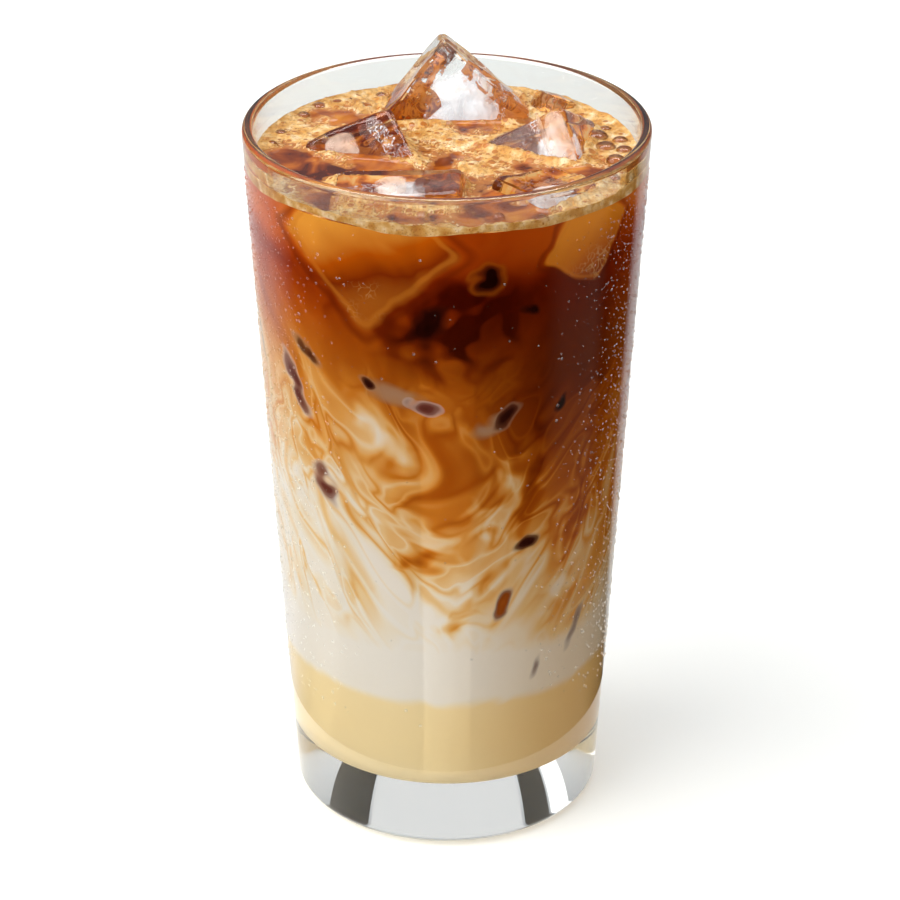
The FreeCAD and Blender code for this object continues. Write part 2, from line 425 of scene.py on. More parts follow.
# Threads run down towards the front, so the stirring pattern is sheared either side of it.
SHEAR = 0.95
SHEAR_BEND = 14.0
EDDIES = ((30.0, 34.0), (14.0, 16.0), (7.0, 4.2))  # width and reach
bent = add(
    tree, "Math", [add(tree, "Math", [around, around, SHEAR_BEND ** 2], operation="MULTIPLY_ADD")],
    operation="SQRT",
)
sheared = add(tree, "Math", [bent, -SHEAR, z_mm], operation="MULTIPLY_ADD")
streak = add(tree, "CombineXYZ", [x_mm, y_mm, sheared])
folded = [streak]
for eddy, reach in EDDIES:
    folded.append(stirred(tree, folded[-1], eddy, reach))
pushed = add(
    tree, "SeparateXYZ", [add(tree, "VectorMath", [folded[-1], streak], operation="SUBTRACT")]
).outputs

# The share of coffee: half at MIDDLE_HEIGHT, lower at the right, where more coffee has sunk.
MIDDLE_HEIGHT = 92.0
SLANT = 0.70
PER_MM = 0.0125
CLOUD_WIDTH = 18.0
CLOUD_SWING = 0.66
height = add(tree, "Math", [pushed["Z"], 0.62, z_mm], operation="MULTIPLY_ADD")
level = add(tree, "Math", [x_mm, SLANT, height], operation="MULTIPLY_ADD")
level = add(tree, "Math", [pushed["X"], 0.5, level], operation="MULTIPLY_ADD")
share = add(tree, "Math", [level, PER_MM, 0.5 - MIDDLE_HEIGHT * PER_MM], operation="MULTIPLY_ADD")
cloud = add(tree, "TexNoise", {"Vector": folded[-1], "Scale": 1 / CLOUD_WIDTH, "Detail": 1.0})
swing = add(tree, "Math", [cloud, 0.5], operation="SUBTRACT")
stir_depth = add(tree, "MapRange", [z_mm, 40.0, 66.0], **SMOOTH)
share = add(
    tree, "Math", [add(tree, "Math", [swing, stir_depth], operation="MULTIPLY"), CLOUD_SWING, share],
    operation="MULTIPLY_ADD",
)

# Places where more coffee, or more milk, has gathered: place, size, tilt and share of coffee.
wall = add(tree, "CombineXYZ", [around, z_mm])
wavy = stirred(tree, wall, 9.0, 7.0)
GATHERED = (
    ((11, 84), (17, 6), 67, -0.36), ((-38, 80), (24, 9), -68, -0.16), ((-13, 101), (13, 3), -45, -0.24),
    ((27, 61), (8, 6), 40, -0.22), ((1, 124), (17, 13), 20, 0.6), ((-13, 93), (10, 5), -18, 0.12),
    ((17, 86), (22, 4), 76, 0.3), ((30, 78), (15, 6), 70, 0.2), ((1, 55), (9, 4), 10, 0.34),
    ((8, 64), (9, 3), 62, 0.26), ((-36, 63), (11, 2), -75, 0.24), ((-20, 57), (9, 2), -62, 0.24),
    ((-8, 70), (13, 3), 42, 0.24), ((70, 84), (16, 6), 60, -0.34), ((88, 70), (18, 5), 72, 0.3),
    ((-66, 92), (18, 6), -60, 0.28), ((-86, 76), (17, 5), -70, -0.3), ((-97, 60), (12, 4), -60, 0.26),
    ((-26, 131), (10, 6), -60, 0.22), ((-37, 134), (9, 6), -60, 0.12), ((52, 100), (15, 8), 50, 0.14),
    ((104, 96), (16, 6), 64, -0.26),
)
for at, size, tilt, amount in GATHERED:
    reach = spot(tree, wavy, at, size, tilt)[1]
    share = add(
        tree, "Math", [share, add(tree, "MapRange", [reach, 1.15, 0.1, 0.0, amount], **SMOOTH)],
        operation="ADD",
    )

# Faint wisps of coffee in the milk, where it is still nearly white.
WISP_WIDTH = 22.0
WISP_AMOUNT = 0.17
wisp = add(tree, "TexNoise", {"Vector": folded[2], "Scale": 1 / WISP_WIDTH, "Detail": 1.0})
wisp_depth = add(
    tree, "Math",
    [
        add(tree, "MapRange", [z_mm, 46.0, 60.0], **SMOOTH),
        add(tree, "MapRange", [share, 0.34, 0.16], **SMOOTH),
    ],
    operation="MULTIPLY",
)
share = add(tree, "Math", [share, 0.03], operation="MAXIMUM")
wisp_amount = add(tree, "MapRange", [off_centre(tree, wisp, 0.5), 0.1, 0.0, 0.0, WISP_AMOUNT], **SMOOTH)
share = add(tree, "Math", [wisp_amount, wisp_depth, share], operation="MULTIPLY_ADD")

# Thin threads, dark and pale, drawn out along the folds.
THREAD_WIDTH = 12.0
DARK_THREAD = 0.10
PALE_THREAD = -0.09
threads = add(tree, "TexNoise", {"Vector": folded[-1], "Scale": 1 / THREAD_WIDTH, "Detail": 1.0})
fold = off_centre(tree, threads, 0.5)
beside = off_centre(tree, fold, 0.085)
thread_depth = add(
    tree, "Math",
    [
        add(tree, "MapRange", [z_mm, 44.0, 58.0], **SMOOTH),
        add(tree, "MapRange", [z_mm, 122.0, 98.0], **SMOOTH),
    ],
    operation="MULTIPLY",
)
for line, width, amount in ((fold, 0.05, DARK_THREAD), (beside, 0.045, PALE_THREAD)):
    thread = add(tree, "MapRange", [line, width, 0.0, 0.0, amount], **SMOOTH)
    share = add(tree, "Math", [thread, thread_depth, share], operation="MULTIPLY_ADD")
share = add(
    tree, "Math", [share, add(tree, "MapRange", [z_mm, 50.0, 40.0, 0.0, -0.5], **SMOOTH)], operation="ADD"
)

# Deep coffee darkens more slowly. It never gets as dark at the right, where more light comes
# through the thin edge. Light comes through its top, so it glows orange just under the crema.
# Each row is an operation on the share, what it goes by, and the range it is carried over.
DEEP = 0.62
rich = add(
    tree, "Math", [add(tree, "Math", [share, DEEP], operation="SUBTRACT"), 0.0], operation="MAXIMUM"
)
share = add(
    tree, "Math", [rich, 0.42, add(tree, "Math", [share, DEEP], operation="MINIMUM")],
    operation="MULTIPLY_ADD",
)
glow_edge = add(tree, "Math", [swing, 14.0, z_mm], operation="MULTIPLY_ADD")
for operation, value, *ends in (
    ("MINIMUM", x_mm, 4.0, 26.0, 0.93, 0.80),
    ("SUBTRACT", around, 30.0, 48.0, 0.0, 0.20),
    ("SUBTRACT", glow_edge, 133.0, 144.0, 0.0, 0.26),
):
    lighter = add(tree, "MapRange", [value, *ends], **SMOOTH)
    share = add(tree, "Math", [share, lighter], operation=operation)
colour = graded(
    add(tree, "ValToRGB", [share]),
    [
        (0.0, "#F7EFE6"), (0.12, "#F7E9D4"), (0.26, "#F3D09A"), (0.39, "#EAAA58"),
        (0.51, "#D58028"), (0.64, "#B35A10"), (0.77, "#833306"), (0.89, "#501703"), (1.0, "#330A01"),
    ],
)

# Painted shade: the milk is tinted darker and warmer towards the right, away from the key light. The
# coffee is redder higher up.
warm_right_shade = add(tree, "MapRange", [x_mm, -10.0, 36.0], **SMOOTH)
redder = add(tree, "MapRange", [z_mm, 112.0, 134.0], **SMOOTH)
for cover, tint in ((warm_right_shade, "#EEDCC2"), (redder, "#FFC6A4")):
    colour = add(
        tree, "Mix", {0: cover, 6: colour, 7: linear(tint)}, data_type="RGBA", blend_type="MULTIPLY"
    ).outputs[2]

# Condensed milk: pale yellow and heavy, with a soft level edge, and painted shade that makes it darker
# and warmer towards the right.
edge = add(tree, "Math", [swing, 5.0, z_mm], operation="MULTIPLY_ADD")
condensed = add(
    tree, "Mix", {0: warm_right_shade, 6: linear("#FCE4B2"), 7: linear("#E8B974")}, data_type="RGBA"
).outputs[2]
level_mm = condensed_top * MM
condensed_cover = add(tree, "MapRange", [edge, level_mm + 1.6, level_mm - 1.2], **SMOOTH)
colour = add(tree, "Mix", {0: condensed_cover, 6: colour, 7: condensed}, data_type="RGBA").outputs[2]

# Sunken ice that touches the wall shows as dark slits with a pale, blurred edge; the pale edge is a
# painted highlight. Each has a place and half size in millimetres round and up the wall, a tilt, and a
# kind.
SLIT_SHADES = {
    "dark": [
        (0.0, "#2A0C06"), (0.4, "#38140C"), (0.66, "#5A3020", 0.85), (0.84, "#A88468", 0.35),
        (1.0, "#B89070", 0.0),
    ],
    "coal": [
        (0.0, "#160401"), (0.5, "#220602"), (0.68, "#5A2008", 0.8), (0.86, "#B0560F", 0.55),
        (1.0, "#A04A10", 0.0),
    ],
    "pale": [(0.0, "#B89070"), (0.5, "#B48A66", 0.8), (0.8, "#A87850", 0.4), (1.0, "#A07048", 0.0)],
    "plum": [
        (0.0, "#5A2A1E"), (0.4, "#6E3A30"), (0.66, "#8A6058", 0.9), (0.84, "#C4B4B0", 0.5),
        (1.0, "#E8E0DC", 0.0),
    ],
    "amber": [
        (0.0, "#A65014"), (0.5, "#964814"), (0.72, "#7E5444", 0.9), (0.86, "#A89088", 0.5),
        (1.0, "#C8B8A8", 0.0),
    ],
    "grey": [(0.0, "#7A6058"), (0.45, "#958076", 0.85), (0.8, "#A8988E", 0.4), (1.0, "#B8A898", 0.0)],
    "deep": [(0.0, "#1E0602"), (0.5, "#2A0904"), (0.78, "#3A1006", 0.6), (1.0, "#4A1808", 0.0)],
}
SLITS = (
    ((-30, 115), (5.4, 2.0), -42, "dark"), ((-34, 106), (9.5, 2.3), -62, "plum"),
    ((-9.4, 109.6), (8.8, 2.9), -14, "pale"), ((-15.8, 111.4), (2.6, 1.3), -30, "dark"),
    ((-4.6, 107.6), (4.2, 1.8), -14, "plum"), ((8, 103), (4.5, 2.8), 40, "pale"),
    ((11.6, 105), (4.6, 2.2), 44, "dark"), ((-27, 85), (6.6, 3.4), -63, "plum"),
    ((17.4, 74), (4.2, 1.7), 27, "dark"), ((12.2, 60), (5.0, 2.2), 68, "amber"),
    ((32, 48.5), (7.0, 1.3), 62, "grey"), ((21, 42.5), (4.0, 1.3), 68, "grey"),
    ((7.2, 136), (4.6, 3.8), 45, "coal"), ((-3.2, 126), (6.4, 3.2), 54, "deep"),
    ((15.6, 128), (2.4, 1.5), -10, "deep"), ((24, 105), (2.6, 1.2), 60, "deep"),
    ((-50, 111), (8.0, 1.1), -66, "grey"), ((60, 118), (7.0, 3.0), 35, "dark"),
    ((76, 96), (6.0, 2.2), -50, "plum"), ((95, 122), (8.0, 3.6), -20, "dark"),
    ((63, 66), (5.0, 1.6), 60, "amber"), ((-70, 118), (7.0, 3.2), 28, "dark"),
    ((-92, 104), (8.0, 2.4), -40, "dark"), ((-74, 78), (6.0, 2.2), 55, "plum"),
    ((-100, 84), (4.6, 1.8), -65, "amber"), ((98, 62), (5.0, 1.5), 62, "grey"),
)
ragged = stirred(tree, wall, 6.0, 3.0, 1.0)
for at, size, tilt, kind in SLITS:
    reach = spot(tree, ragged, at, size, tilt)[1]
    slit = graded(add(tree, "ValToRGB", [reach]), SLIT_SHADES[kind])
    colour = add(tree, "Mix", {0: slit.outputs["Alpha"], 6: colour, 7: slit}, data_type="RGBA").outputs[2]

# Two large sunken blocks at the surface, and two more behind: clear ice in thin coffee, painted golden
# above where light comes through the top and red-brown below, with a painted bright rim highlight, a
# crazed corner with painted highlight streaks, and painted shade round the outside.
CRAZE_SIZE = (7.5, 6.0)
BLOCKS = (
    # place, half size, tilt, shades from the top down, and the crazed corner's place
    ((-15.4, 141.6), (12.4, 12.4), 44, ("#F2A23C", "#C65A06", "#8C3205", "#B8621A"), (-16.0, 129.5)),
    ((28.5, 140.4), (7.4, 7.4), 60, ("#EC9028", "#E07E1C", "#CC681C", "#8A3410"), (31.0, 135.0)),
    ((-84.0, 140.0), (11.0, 10.0), 40, ("#D08028", "#B85A10", "#84300A", "#8E400C"), (-84.0, 131.0)),
    ((86.0, 141.0), (10.0, 9.0), 52, ("#C88030", "#A85010", "#7E2C06", "#8A3C0A"), (84.0, 133.0)),
)
crazing = add(
    tree, "TexVoronoi", {"Vector": stirred(tree, wall, 2.5, 3.4, 2.0), "Scale": 0.62},
    feature="DISTANCE_TO_EDGE",
)
for at, size, tilt, tones, corner in BLOCKS:
    local = spot(tree, ragged, at, size, tilt)[0]
    sides = add(tree, "SeparateXYZ", [add(tree, "VectorMath", [local], operation="ABSOLUTE")]).outputs
    out_of = add(tree, "Math", [sides["X"], sides["Y"], 0.22], operation="SMOOTH_MAX")
    inside = add(tree, "MapRange", [out_of, 1.1, 0.98], **SMOOTH)
    depth = add(tree, "Math", [at[1] + 6.0, z_mm], operation="SUBTRACT")
    slanted = add(
        tree, "Math", [around, 0.35, add(tree, "Math", [depth, -0.35 * at[0]], operation="ADD")],
        operation="MULTIPLY_ADD",
    )
    blotch = add(tree, "Math", [swing, 10.0, slanted], operation="MULTIPLY_ADD")
    fall = add(tree, "MapRange", [blotch, -1.0, 20.0], **SMOOTH)
    face = graded(add(tree, "ValToRGB", [fall]), list(zip((0.0, 0.34, 0.66, 1.0), tones)))
    # Painted highlight streaks along the crazing at one corner.
    craze_place = add(tree, "MapRange", [spot(tree, wavy, corner, CRAZE_SIZE, 20)[1], 1.0, 0.2], **SMOOTH)
    crazed_highlight = add(
        tree, "Math", [add(tree, "MapRange", [crazing, 0.1, 0.0, 0.0, 0.6], **SMOOTH), craze_place],
        operation="MULTIPLY",
    )
    face = add(tree, "Mix", {0: crazed_highlight, 6: face, 7: linear("#F0BE78")}, data_type="RGBA").outputs[2]
    # Painted highlight: a bright orange rim along the block's edge.
    rim = add(tree, "MapRange", [off_centre(tree, out_of, 0.96), 0.075, 0.01, 0.0, 0.42], **SMOOTH)
    face = add(tree, "Mix", {0: rim, 6: face, 7: linear("#DC8228")}, data_type="RGBA").outputs[2]
    colour = add(tree, "Mix", {0: inside, 6: colour, 7: face}, data_type="RGBA").outputs[2]
    # Painted shade: a dark red-brown ring just outside the block.
    shade = add(tree, "MapRange", [off_centre(tree, out_of, 1.17), 0.12, 0.0, 0.0, 0.5], **SMOOTH)
    colour = add(tree, "Mix", {0: shade, 6: colour, 7: linear("#6A1E04")}, data_type="RGBA").outputs[2]

look = {"Base Color": colour, "Roughness": 0.5, "Specular IOR Level": 0.0}
add(tree, "OutputMaterial", [add(tree, "BsdfPrincipled", look)])

floor_z = FLOOR_THICKNESS - REACH
layer_outlines = {
    "condensed_milk": rounded_outline(
        [
            (0, floor_z, 0),
            (inner_radius(floor_z) + REACH, floor_z, FLOOR_ROUND),
            (inner_radius(condensed_top) + REACH, condensed_top, 0),
            (0, condensed_top, 0),
        ]
    )
}
for name, low, high in (("milk", condensed_top, milk_top), ("coffee", milk_top, coffee_top)):
    low_radius, high_radius = inner_radius(low) + REACH, inner_radius(high) + REACH
    layer_outlines[name] = [(0, low), (low_radius, low), (high_radius, high), (0, high)]
layers = {}
for name, outline in layer_outlines.items():
    layers[name] = turned(name + "_layer", outline, marbling)


# ------------------------------------------------------------------ ice
# Seven clear cubes stand out of the drink. Each is frozen water, melted round at its edges and
# a little hollow on its faces, and it sits in a pit of coffee cut to its own shape.
ICE_GRID = 22
ICE_FIT = 0.00015
ICE_HOLLOW = 0.0005
ICE_DENTS = 0.00032
ICE_CUBES = (
    # name, size, middle, turn (yaw, pitch, roll) and edge rounding, as the CAD nodes have them
    ("centre", (24, 16, 23), (1.1, 24.4, 146.5), (3, -9, 40), 1.7),
    ("left", (20, 19, 19), (-16.1, 2.7, 140.1), (27, 32, -22), 1.9),
    ("right", (22, 19, 19), (20.6, 4.0, 140.8), (-28, -28, -34), 1.8),
    ("front", (27, 14, 13), (-9.4, -19.5, 142.9), (-3, 3, -3), 2.8),
    ("front_right", (18, 16, 20), (19.3, -20.3, 139.3), (42, 0, 8), 2.3),
    ("back_right", (8, 8, 13), (21.4, 24.4, 144.2), (38, 0, 25), 1.9),
    ("back_left", (13, 9, 13), (-21.9, 24.5, 141.7), (40, 0, -4), 2.2),
)

# Ice bends light less than glass. Fine waves of the wet surface break up its reflections.
clear_ice, tree = new_material("clear melting ice")
waves = add(tree, "TexNoise", {"Vector": in_millimetres(tree), "Scale": 1 / 5.0, "Detail": 1.0})
ripple = add(tree, "Bump", {"Strength": 0.4, "Distance": 0.0004, "Height": waves})
see_through(tree, "#FDFEFF", 1.31, "#F4F6F8", Normal=ripple)


def cube_turn(turn):
    """A cube's turn: roll, then pitch, then yaw."""
    yaw, pitch, roll = (math.radians(a) for a in turn)
    spin = Matrix.Rotation(yaw, 3, "Z") @ Matrix.Rotation(pitch, 3, "X")
    return np.array(spin @ Matrix.Rotation(roll, 3, "Y"))


def grid_faces(count):
    """The faces of a square grid of points, row by row."""
    wide = count + 1
    corners = [r * wide + c for r in range(count) for c in range(count)]
    return [(low, low + wide, low + wide + 1, low + 1) for low in corners]


def ice_mesh(size, middle, turn, rounding, seed):
    """Points and faces of a melted cube: a rounded box with hollow, wavy faces."""
    half = np.array(size) / 2 / MM
    rounding = rounding / MM
    steps = np.sin(np.linspace(-math.pi / 2, math.pi / 2, ICE_GRID + 1))
    steps = 0.55 * steps + 0.45 * np.linspace(-1, 1, ICE_GRID + 1)
    points, faces, index = [], [], {}
    for axis in range(3):
        for side in (-1, 1):
            marks = []
            for a in steps:
                for b in steps:
                    point = [0.0, 0.0, 0.0]
                    point[axis] = float(side)
                    point[(axis + 1) % 3] = float(a)
                    point[(axis + 2) % 3] = float(b)
                    mark = tuple(round(c, 6) for c in point)
                    if mark not in index:
                        index[mark] = len(points)
                        points.append(point)
                    marks.append(index[mark])
            for corners in grid_faces(ICE_GRID):
                faces.append([marks[i] for i in corners[::side]])
    local = np.array(points) * half
    core = np.clip(local, -(half - rounding), half - rounding)
    away = local - core
    away /= np.maximum(np.linalg.norm(away, axis=1), 1e-9)[:, None]
    share = np.abs(np.array(points))
    hollow = np.prod(np.where(share > 0.999, 1.0, 1 - share**2), axis=1)
    spin = cube_turn(turn)
    placed = (core + away * rounding) @ spin.T + np.array(middle) / MM
    outward = away @ spin.T
    shift = Vector((seed * 11.3, seed * 5.7, seed * 2.9))
    dent = np.array([noise.fractal(Vector(p) * 130 + shift, 0.6, 2.0, 2) for p in placed])
    placed += outward * (ICE_DENTS * dent - ICE_HOLLOW * hollow)[:, None]
    return placed, faces, outward


def joined_mesh(meshes):
    """Several (points, faces) lists as one."""
    points, faces = [], []
    for some, these in meshes:
        faces += [tuple(i + len(points) for i in face) for face in these]
        points += [tuple(p) for p in some]
    return points, faces


pits = []
for seed, (word, size, middle, turn, rounding) in enumerate(ICE_CUBES):
    points, faces, outward = ice_mesh(size, middle, turn, rounding, seed)
    cube = mesh_piece("ice_" + word, points, faces, clear_ice, sharp=math.radians(60))
    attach(cube, "root")
    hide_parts("ice_cube_" + word)
    pits.append((points - outward * ICE_FIT, faces))

# The pits: the coffee layer less the cubes. Pit walls are seen through the ice; they are painted brighter
# and amber near the surface and darker with depth, and a faint emission adds painted light in place of
# the light that reaches them through the ice.
PIT_WALL_CLEAR = 0.0004
PIT_ABOVE_MILK = 0.001
pit_coffee, tree = new_material("coffee behind ice")
scaled = in_millimetres(tree)
blotches = add(tree, "TexNoise", {"Vector": scaled, "Scale": 1 / 5.5, "Detail": 3.0, "Distortion": 0.8})
painted_surface_glow = add(
    tree, "MapRange", [add(tree, "SeparateXYZ", [scaled]).outputs["Z"], 131.0, 147.5, 0.02, 0.42],
    **SMOOTH,
)
tone = add(
    tree, "Math", [painted_surface_glow, add(tree, "Math", [blotches, 1.9, -0.62], operation="MULTIPLY_ADD")],
    operation="ADD",
)
shades = graded(
    add(tree, "ValToRGB", [tone]),
    [
        (0.0, "#2E0A02"), (0.3, "#5A1A04"), (0.52, "#96400A"), (0.7, "#C87418"),
        (0.88, "#E8A84A"), (1.0, "#F0C478"),
    ],
)
look = {"Base Color": shades, "Roughness": 0.5, "Emission Color": shades, "Emission Strength": 0.45}
body = add(tree, "BsdfPrincipled", {**look, "Specular IOR Level": 0.0})
add(tree, "OutputMaterial", [body])

pit_cutter = mesh_piece("pit_cutter", *joined_mesh(pits))


def applied(piece):
    """Makes a piece's modifiers part of its mesh."""
    bpy.context.view_layer.update()
    held = piece.evaluated_get(bpy.context.evaluated_depsgraph_get())
    mesh = bpy.data.meshes.new_from_object(held)
    piece.modifiers.clear()
    piece.data = mesh
    return mesh


def cut_pits(piece):
    """Cuts the ice cubes' pits out of a piece."""
    cut = piece.modifiers.new("pits", "BOOLEAN")
    cut.operation = "DIFFERENCE"
    cut.solver = "EXACT"
    cut.object = pit_cutter
    return applied(piece)


mesh = cut_pits(layers["coffee"])
mesh.materials.append(pit_coffee)
for face in mesh.polygons:
    x, y, z = face.center
    if math.hypot(x, y) < inner_radius(z) - PIT_WALL_CLEAR and z > milk_top + PIT_ABOVE_MILK:
        face.material_index = 1
mesh.set_sharp_from_angle(angle=math.radians(40))


def part_covered(tree, cover, look):
    """A film that covers clear ice only in part."""
    film = add(tree, "BsdfPrincipled", look)
    add(tree, "OutputMaterial", [add(tree, "MixShader", [cover, add(tree, "BsdfTransparent"), film])])


# Air frozen into the ice: cloudy cores, made of shells one inside another. Frozen air is matt white; a
# faint emission is painted light, standing in for the light it scatters from all sides.
frozen_air, tree = new_material("white cloud of frozen-in air")
wisps = add(
    tree, "TexNoise", {"Vector": in_millimetres(tree), "Scale": 1 / 5.0, "Detail": 2.0, "Distortion": 0.6}
)
look = {"Base Color": linear("#F6F8FA"), "Roughness": 0.6}
look.update({"Emission Color": linear("#F2F5F8"), "Emission Strength": 0.25})
part_covered(tree, add(tree, "MapRange", [wisps, 0.3, 0.7, 0.1, 0.44], **SMOOTH), look)

CLOUDS = (
    # cube, middle and half size in the cube's own frame, shells
    ("centre", (-0.5, -3.0, 2.5), (7.0, 3.0, 7.6), 6),
    ("left", (-3.0, -4.0, 3.5), (4.2, 2.6, 4.4), 3),
    ("right", (4.0, -3.5, 1.5), (3.6, 3.0, 4.0), 3),
    ("front", (0.5, 0.0, 2.8), (4.6, 2.6, 2.0), 4),
    ("front_right", (0.0, -2.0, 5.0), (3.6, 3.0, 2.6), 3),
)
CLOUD_LUMPS = 0.38
places = {cube[0]: (np.array(cube[2]), cube_turn(cube[3])) for cube in ICE_CUBES}
ball = bmesh.new()
bmesh.ops.create_icosphere(ball, subdivisions=4, radius=1)
ball_points = np.array([v.co[:] for v in ball.verts])
ball_faces = [[v.index for v in face.verts] for face in ball.faces]
ball.free()
shells = []
for seed, (word, middle, half, count) in enumerate(CLOUDS):
    cube_middle, spin = places[word]
    centre = cube_middle / MM + spin @ (np.array(middle) / MM)
    for k in range(count):
        grow = 1 - k / (count + 0.6)
        shift = Vector((seed * 3, k, 7))
        lumps = np.array([noise.fractal(Vector(p) * 1.1 + shift, 0.7, 2.0, 3) for p in ball_points])
        points = ball_points * (1 + CLOUD_LUMPS * lumps)[:, None] * np.array(half) / MM * grow
        shells.append((points @ spin.T + centre, ball_faces))
clouds = mesh_piece("ice_clouds", *joined_mesh(shells), frozen_air)
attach(clouds, "root")

# Thin sheets inside the cubes, each one bowed and narrowed a little: feathery white cracks, amber films
# of coffee drawn into cracks, pale facets, and dark ones of deep coffee.
crack_air, tree = new_material("feathery crack in ice")
feather = add(
    tree, "TexNoise", {"Vector": in_millimetres(tree), "Scale": 1 / 3.0, "Detail": 4.0, "Distortion": 2.2}
)
line = add(tree, "MapRange", [off_centre(tree, feather, 0.5), 0.035, 0.004, 0.0, 0.75], **SMOOTH)
drawn = add(
    tree, "Math", [line, add(tree, "MapRange", [feather, 0.55, 0.75, 0.0, 0.35], **SMOOTH)],
    operation="ADD",
)
# The cracks' faint white emission is painted light.
look = {"Base Color": linear("#FFFFFF"), "Roughness": 0.35}
look.update({"Emission Color": linear("#FFFFFF"), "Emission Strength": 0.2})
part_covered(tree, drawn, look)

crack_coffee, tree = new_material("thin coffee film in ice")
pools = add(
    tree, "TexNoise", {"Vector": in_millimetres(tree), "Scale": 1 / 3.6, "Detail": 3.0, "Distortion": 1.4}
)
shades = graded(
    add(tree, "ValToRGB", [pools]),
    [(0.42, "#6A2606"), (0.50, "#C8701A"), (0.57, "#D98A34"), (0.64, "#9A440C"), (0.72, "#4A1604")],
)
look = {"Base Color": shades, "Roughness": 0.3}
part_covered(tree, add(tree, "MapRange", [pools, 0.42, 0.5, 0.0, 0.85], **SMOOTH), look)

sheet_looks = {"white": ("ice_cracks", crack_air), "amber": ("ice_coffee_films", crack_coffee)}
for kind, word, colour, cover in (
    ("pale", "pale frosted facet in ice", "#E9CDB8", 0.62),
    ("dark", "deep coffee seen in ice", "#4E1C0A", 0.85),
):
    facet, tree = new_material(word)
    streaks = add(
        tree, "TexNoise",
        {"Vector": in_millimetres(tree), "Scale": 1 / 4.0, "Detail": 3.0, "Distortion": 1.0},
    )
    middle = add(tree, "Attribute", attribute_name="middle").outputs["Fac"]
    patchy = add(tree, "MapRange", [streaks, 0.3, 0.6, 0.35, 1.0], **SMOOTH)
    drawn = add(
        tree, "Math", [add(tree, "MapRange", [middle, 0.0, 0.5, 0.0, cover], **SMOOTH), patchy],
        operation="MULTIPLY",
    )
    part_covered(tree, drawn, {"Base Color": linear(colour), "Roughness": 0.3})
    sheet_looks[kind] = (f"ice_{kind}_facets", facet)

SHEETS = (
    # cube, middle in its frame, half size, turn in its frame, kind
    ("centre", (5, -3, 5), (3.4, 6.0), (-25, 84, 30), "white"),
    ("centre", (-6, -2, 4), (3.0, 7.0), (30, 88, 10), "white"),
    ("centre", (-9.2, -1, -1), (2.6, 10.0), (44, 88, 0), "amber"),
    ("centre", (4, 0, 8.6), (8.0, 3.0), (0, 60, 0), "amber"),
    ("centre", (-8.8, 2, 8.6), (2.8, 2.8), (0, 80, 45), "amber"),
    ("centre", (8.6, 1, 2), (3.0, 7.0), (-40, 80, 0), "amber"),
    ("left", (4, -4, 3), (3.4, 5.0), (15, 70, 20), "white"),
    ("left", (6, -1, 5), (2.6, 4.0), (-30, 60, 10), "white"),
    ("left", (3, 1, 3), (6.0, 6.4), (10, 66, 0), "amber"),
    ("left", (-7, 2, 0), (3.0, 6.0), (40, 80, 0), "amber"),
    ("right", (1, -4, 4), (2.2, 7.0), (-10, 76, 20), "white"),
    ("right", (5, -5, 3), (3.0, 5.0), (-30, 70, -15), "white"),
    ("right", (-3, 0, 3), (6.4, 6.4), (20, 70, 0), "amber"),
    ("right", (6, 2, 2), (3.4, 6.0), (-40, 80, 0), "amber"),
    ("front", (-8, -1, 2.4), (4.0, 2.8), (20, 60, 10), "white"),
    ("front", (4, 1, 2), (7.0, 3.4), (0, 70, 0), "amber"),
    ("front_right", (2, -3, 6), (4.0, 2.6), (10, 50, 20), "white"),
    ("front_right", (0, 1, 5), (6.0, 4.4), (0, 70, 0), "amber"),
    ("centre", (-7.3, -7, -2.2), (3.4, 4.4), (0, 90, 20), "amber"),
    ("centre", (-10.4, -6, 4), (1.8, 5.0), (0, 90, 0), "amber"),
    ("centre", (1.5, -6, 10.2), (7.0, 2.0), (0, 90, 0), "amber"),
    ("centre", (-10.2, -5, 9.2), (2.2, 2.2), (0, 90, 0), "dark"),
    ("left", (-3.0, 4.2, 8.8), (3.4, 3.6), (0, 0, 0), "pale"),
    ("left", (5.6, 4.0, 8.6), (1.6, 4.4), (14, 0, 0), "white"),
    ("right", (-2.4, -8.6, 5.2), (6.4, 4.6), (0, 90, 0), "dark"),
    ("right", (8.0, -8.4, 2.6), (2.6, 7.0), (0, 90, 0), "pale"),
    ("right", (5.2, -8.9, 4.6), (0.6, 5.6), (0, 90, 20), "pale"),
    ("front", (7.8, -1.0, 5.6), (5.0, 5.0), (0, 0, 0), "dark"),
    ("front", (-1.5, -1.0, 5.4), (3.4, 4.6), (6, 0, 0), "pale"),
    ("front_right", (-3.0, -4.0, 8.8), (3.6, 3.0), (0, 0, 0), "pale"),
    ("back_right", (0, 0, 3), (2.4, 3.0), (10, 80, 0), "amber"),
    ("back_left", (0, 0, 3), (4.6, 2.6), (0, 70, 0), "amber"),
)
SHEET_GRID = 10
sheets = {kind: [] for kind in sheet_looks}
for seed, (word, middle, half, turn, kind) in enumerate(SHEETS):
    cube_middle, cube_spin = places[word]
    spin = cube_spin @ cube_turn(turn)
    centre = cube_middle + cube_spin @ np.array(middle)
    points = []
    for a in np.linspace(-1, 1, SHEET_GRID + 1):
        for b in np.linspace(-1, 1, SHEET_GRID + 1):
            squeeze = math.sqrt(max(0.05, 1 - 0.6 * a * a))
            bow = 0.9 * noise.noise(Vector((a * 1.3, b * 1.3, seed * 4.0))) + 0.5 * a * b
            points.append((spin @ np.array((a * half[0], b * half[1] * squeeze, bow)) + centre) / MM)
    sheets[kind].append((points, grid_faces(SHEET_GRID)))

# How near each point is to its sheet's middle: facets fade out towards their edges.
steps = np.linspace(-1, 1, SHEET_GRID + 1)
middles = np.outer(1 - steps**4, 1 - steps**4).ravel()
for kind, (name, material) in sheet_looks.items():
    veins = mesh_piece(name, *joined_mesh(sheets[kind]), material)
    nearness = np.tile(middles, len(sheets[kind]))
    veins.data.attributes.new("middle", "FLOAT", "POINT").data.foreach_set("value", nearness)
    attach(veins, "root")


